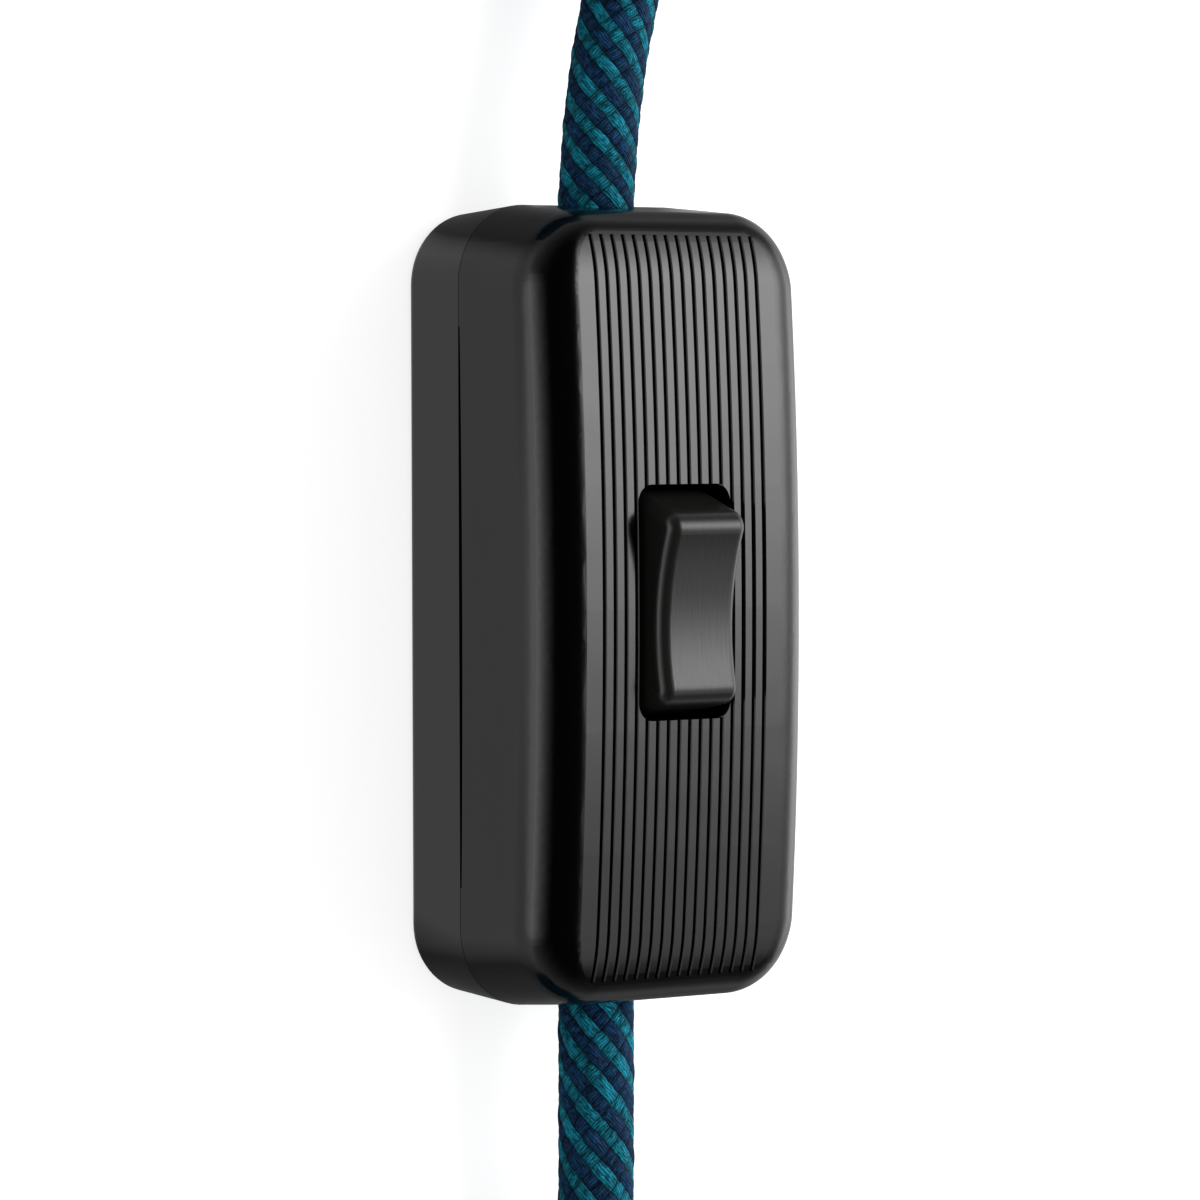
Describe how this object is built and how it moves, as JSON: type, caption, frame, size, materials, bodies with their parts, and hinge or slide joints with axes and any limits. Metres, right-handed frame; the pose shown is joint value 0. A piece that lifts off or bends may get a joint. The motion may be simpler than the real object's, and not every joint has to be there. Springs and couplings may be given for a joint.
{
  "type": "inline cord switch",
  "caption": "Black ribbed inline rocker switch on a round braided textile cord, with a two-pin plug lead on one side and a bare-ended lamp lead on the other.",
  "frame": {"origin": "centre of the case's flat back, which the switch lies on", "axes": "+Z out of the ribbed face, +Y along the cord towards the lamp lead, +X across the width"},
  "size_m": [0.064, 0.315, 0.0279],
  "materials": {
    "gloss_black": "gloss moulded black",
    "satin_black": "satin moulded black",
    "grey_plastic": "moulded grey insulation",
    "white_plastic": "moulded white",
    "steel": "zinc plated",
    "brass": "bare brass",
    "brown_core": "brown core insulation",
    "blue_core": "blue core insulation",
    "braided_cord": "two-tone teal and navy braid",
    "tie": "black hook and loop band",
    "plug_black": "satin moulded black",
    "pin_metal": "nickel plated",
    "sleeve": "black insulation"
  },
  "bodies": {
    "case": {"front_cover": "gloss_black", "rear_cover": "gloss_black", "rocker_pin": "steel", "contact_carrier": "grey_plastic", "lamp_terminal": "brass", "mains_terminal": "brass", "neutral_connector": "brass", "terminal_screws": "steel", "lamp_side_grip": "grey_plastic", "mains_side_grip": "grey_plastic", "grip_screws": "steel", "case_screws": "steel", "lamp_live_core": "brown_core", "lamp_neutral_core": "blue_core", "mains_live_core": "brown_core", "mains_neutral_core": "blue_core", "lamp_lead": "braided_cord", "mains_lead": "braided_cord", "plug_tail": "braided_cord", "lamp_lead_hank": "braided_cord", "mains_lead_hank": "braided_cord", "lamp_hank_tie": "tie", "mains_hank_tie": "tie", "lamp_end_live_core": "brown_core", "lamp_end_neutral_core": "blue_core", "plug_body": "plug_black", "plug_relief": "plug_black", "plug_pins": "pin_metal", "plug_pin_sleeves": "sleeve"},
    "rocker": {"rocker": "satin_black", "plunger": "white_plastic", "plunger_spring": "steel"},
    "contact_blade": {"contact_blade": "brass"}
  },
  "joints": [
    {"name": "rocker_hinge", "type": "hinge", "parent": "case", "child": "rocker", "pos_m": [0, 0.0005, 0.0177], "axis": [1, 0, 0], "range_deg": [-9, 0]},
    {"name": "blade_hinge", "type": "hinge", "parent": "case", "child": "contact_blade", "pos_m": [0, 0.0005, 0.0093], "axis": [1, 0, 0], "range_deg": [0, 12]}
  ],
  "couplings": [
    {"joint": "blade_hinge", "follows": "rocker_hinge", "ratio": -1.3333}
  ]
}
